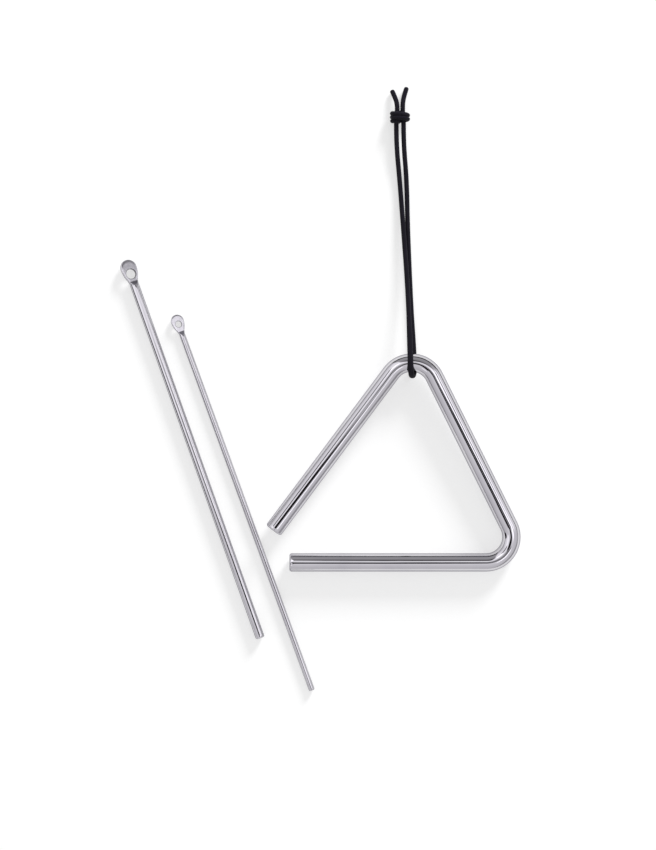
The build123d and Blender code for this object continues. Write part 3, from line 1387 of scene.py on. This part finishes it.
    def table_material(self) -> bpy.types.Material:
        """White paper with a faint grain, and a glow where it is seen that rises with the distance.

        Returns:
            The material.
        """
        material, sheet = new_material("white_table")
        where = sheet.here()
        dim = tuple(self.table_dimming * level for level in self.table_colour)
        colour = sheet.mixed(self.table_grain.level(sheet, where), self.table_colour, dim)
        paper = sheet.add("ShaderNodeBsdfDiffuse", {"Color": colour})
        level = sheet.span(sheet.vector("LENGTH", where), self.glow_span, self.table_glow)
        glow = sheet.math("MULTIPLY", self.seen_ray(sheet), level)
        lit = sheet.add("ShaderNodeEmission", {"Color": sheet.full(WHITE), "Strength": glow})
        sheet.end("ShaderNodeAddShader", {0: paper.outputs[0], 1: lit.outputs[0]})
        return material

    def light_world(self) -> None:
        """Even light from all round, and white where it is seen."""
        world = bpy.data.worlds.new("white_room")
        world.use_nodes = True
        sheet = NodeSheet(world.node_tree)
        strength = sheet.span(self.seen_ray(sheet), WHOLE, (self.sky_light, 1.0))
        sky = {"Color": sheet.full(WHITE), "Strength": strength}
        sheet.end("ShaderNodeBackground", sky, output="ShaderNodeOutputWorld")
        bpy.context.scene.world = world

    def hang_key(self) -> None:
        """A wide soft lamp to the upper right that gives the shadows their direction."""
        data = bpy.data.lights.new("key", "AREA")
        data.energy = self.key_power
        data.shape = "DISK"
        data.size = self.key_size
        lamp = linked("key", data)
        lamp.location = self.key_place
        lamp.rotation_euler = (-lamp.location).to_track_quat("-Z", "Y").to_euler()
        lamp.visible_glossy = False

    def pitch_tent(self) -> None:
        """A dome over the table whose panels and gaps make the bands that bright metal shows.

        A point of the dome lies at radius times the sine of its angle from the top, round about, and at
        radius times the cosine upward.
        """
        fall = np.linspace(pi / 2, 0.0, self.tent_rings)
        right, far, up = np.eye(3)
        centre = self.tent_radius * np.cos(fall)[:, None] * up
        radius = self.tent_radius * np.sin(fall)[:, None]
        mesh = surface_mesh(
            "light_tent", carried_rings(centre, radius, round_angles(self.tent_columns), right, far)
        )
        mesh.materials.append(self.tent_material())
        tent = linked("light_tent", mesh)
        tent.visible_camera = False
        tent.visible_diffuse = False
        tent.visible_shadow = False
        tent.visible_volume_scatter = False

    def tinted(self, level: float) -> Colour:
        """A grey level of the tent's cloth, which is faintly violet."""
        return tuple(level * share for share in self.cloth_tint)

    def tent_material(self) -> bpy.types.Material:
        """Light that varies with the angle from the top, in three ways round the tent, with its panels.

        Returns:
            The material.
        """
        material, sheet = new_material("tent_cloth")
        where = sheet.here()
        upward = sheet.math("DIVIDE", sheet.axis(where, "Z"), self.tent_radius)
        fall = sheet.math("DIVIDE", sheet.math("ARCCOSINE", upward), pi / 2)
        way = sheet.vector("NORMALIZE", sheet.vector("MULTIPLY", where, (1.0, 1.0, 0.0)))
        near_side, flank, far_side = (
            sheet.ramp(fall, [(angle / 90.0, self.tinted(level)) for angle, level in cloth])
            for cloth in (self.near_cloth, self.flank_cloth, self.far_cloth)
        )
        beside = sheet.span(sheet.axis(way, "Y"), self.flank_span, smooth=True)
        seen = sheet.mixed(beside, near_side, flank)
        ray = sheet.vector("NORMALIZE", where)
        seen = sheet.mixed(self.far_opening.share(sheet, ray), seen, far_side)
        for panel in self.tent_panels:
            seen = sheet.mixed(panel.share(sheet, ray), seen, self.tinted(panel.level))
        sheet.end("ShaderNodeEmission", {"Color": seen, "Strength": self.tent_light})
        return material


THICK_BEATER = Beater(
    node="thick_beater",
    body=Body.THICK_BEATER,
    diameter=0.0050,
    length=0.2210,
    eye_width=0.0091,
    eye_thickness=0.0022,
    flat_length=0.0124,
    neck_length=0.0148,
    hole_diameter=0.0055,
    hole_setback=0.0081,
    tip_round=0.0010,
    hole_edge=0.00025,
)
THIN_BEATER = Beater(
    node="thin_beater",
    body=Body.THIN_BEATER,
    diameter=0.0032,
    length=0.2203,
    eye_width=0.0072,
    eye_thickness=0.0013,
    flat_length=0.0097,
    neck_length=0.0120,
    hole_diameter=0.0035,
    hole_setback=0.0054,
    tip_round=0.0007,
    hole_edge=0.00015,
)


def main() -> None:
    """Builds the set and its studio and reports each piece."""
    logging.basicConfig(level=logging.INFO)
    Studio().build()
    braid = BlackBraid()
    knot = TiedKnot(braid).build()
    cord = HangingCord(braid).build(knot)
    rod = TriangleRod(ChromePlate()).build()
    for piece in (knot, cord, rod, THICK_BEATER.build(), THIN_BEATER.build()):
        log.info("%s: %d faces", piece.name, len(piece.data.polygons))


if __name__ == "__main__":
    main()
